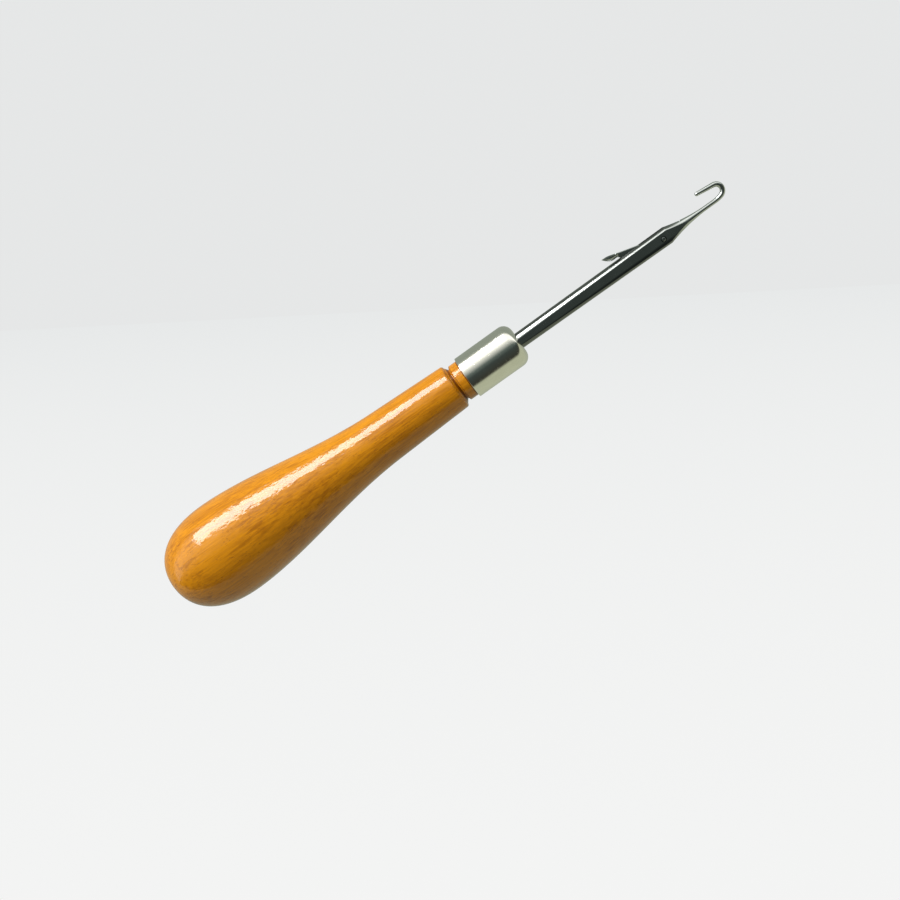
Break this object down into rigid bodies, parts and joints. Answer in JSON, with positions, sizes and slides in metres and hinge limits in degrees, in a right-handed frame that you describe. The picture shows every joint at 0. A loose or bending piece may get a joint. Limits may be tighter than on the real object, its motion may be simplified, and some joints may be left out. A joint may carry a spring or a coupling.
{
  "type": "latch hook",
  "caption": "Latch hook for knotting yarn: pear-shaped wooden handle, drawn metal ferrule, and a steel hook whose hinged latch closes over its tip.",
  "frame": {"origin": "on the tool's axis, halfway along the ferrule's straight barrel", "axes": "+X along the tool's axis from the butt to the hook, +Z the way the hook opens and the latch lies, +Y across the flats along the latch's rivet"},
  "size_m": [0.1644, 0.0252, 0.0252],
  "materials": {
    "lacquered_beech": "honey-coloured gloss lacquer over turned beech",
    "nickel_sheet": "bright nickel plate with fine handling scratches",
    "polished_steel": "polished and nickel-plated steel"
  },
  "bodies": {
    "tool": {"handle": "lacquered_beech", "ferrule": "nickel_sheet", "hook": "polished_steel", "latch_rivet": "polished_steel"},
    "latch": {"latch": "polished_steel"}
  },
  "joints": [
    {"name": "latch_swing", "type": "hinge", "parent": "tool", "child": "latch", "pos_m": [0.0501, 0, 0], "axis": [0, 1, 0], "range_deg": [0, 145.8]}
  ]
}
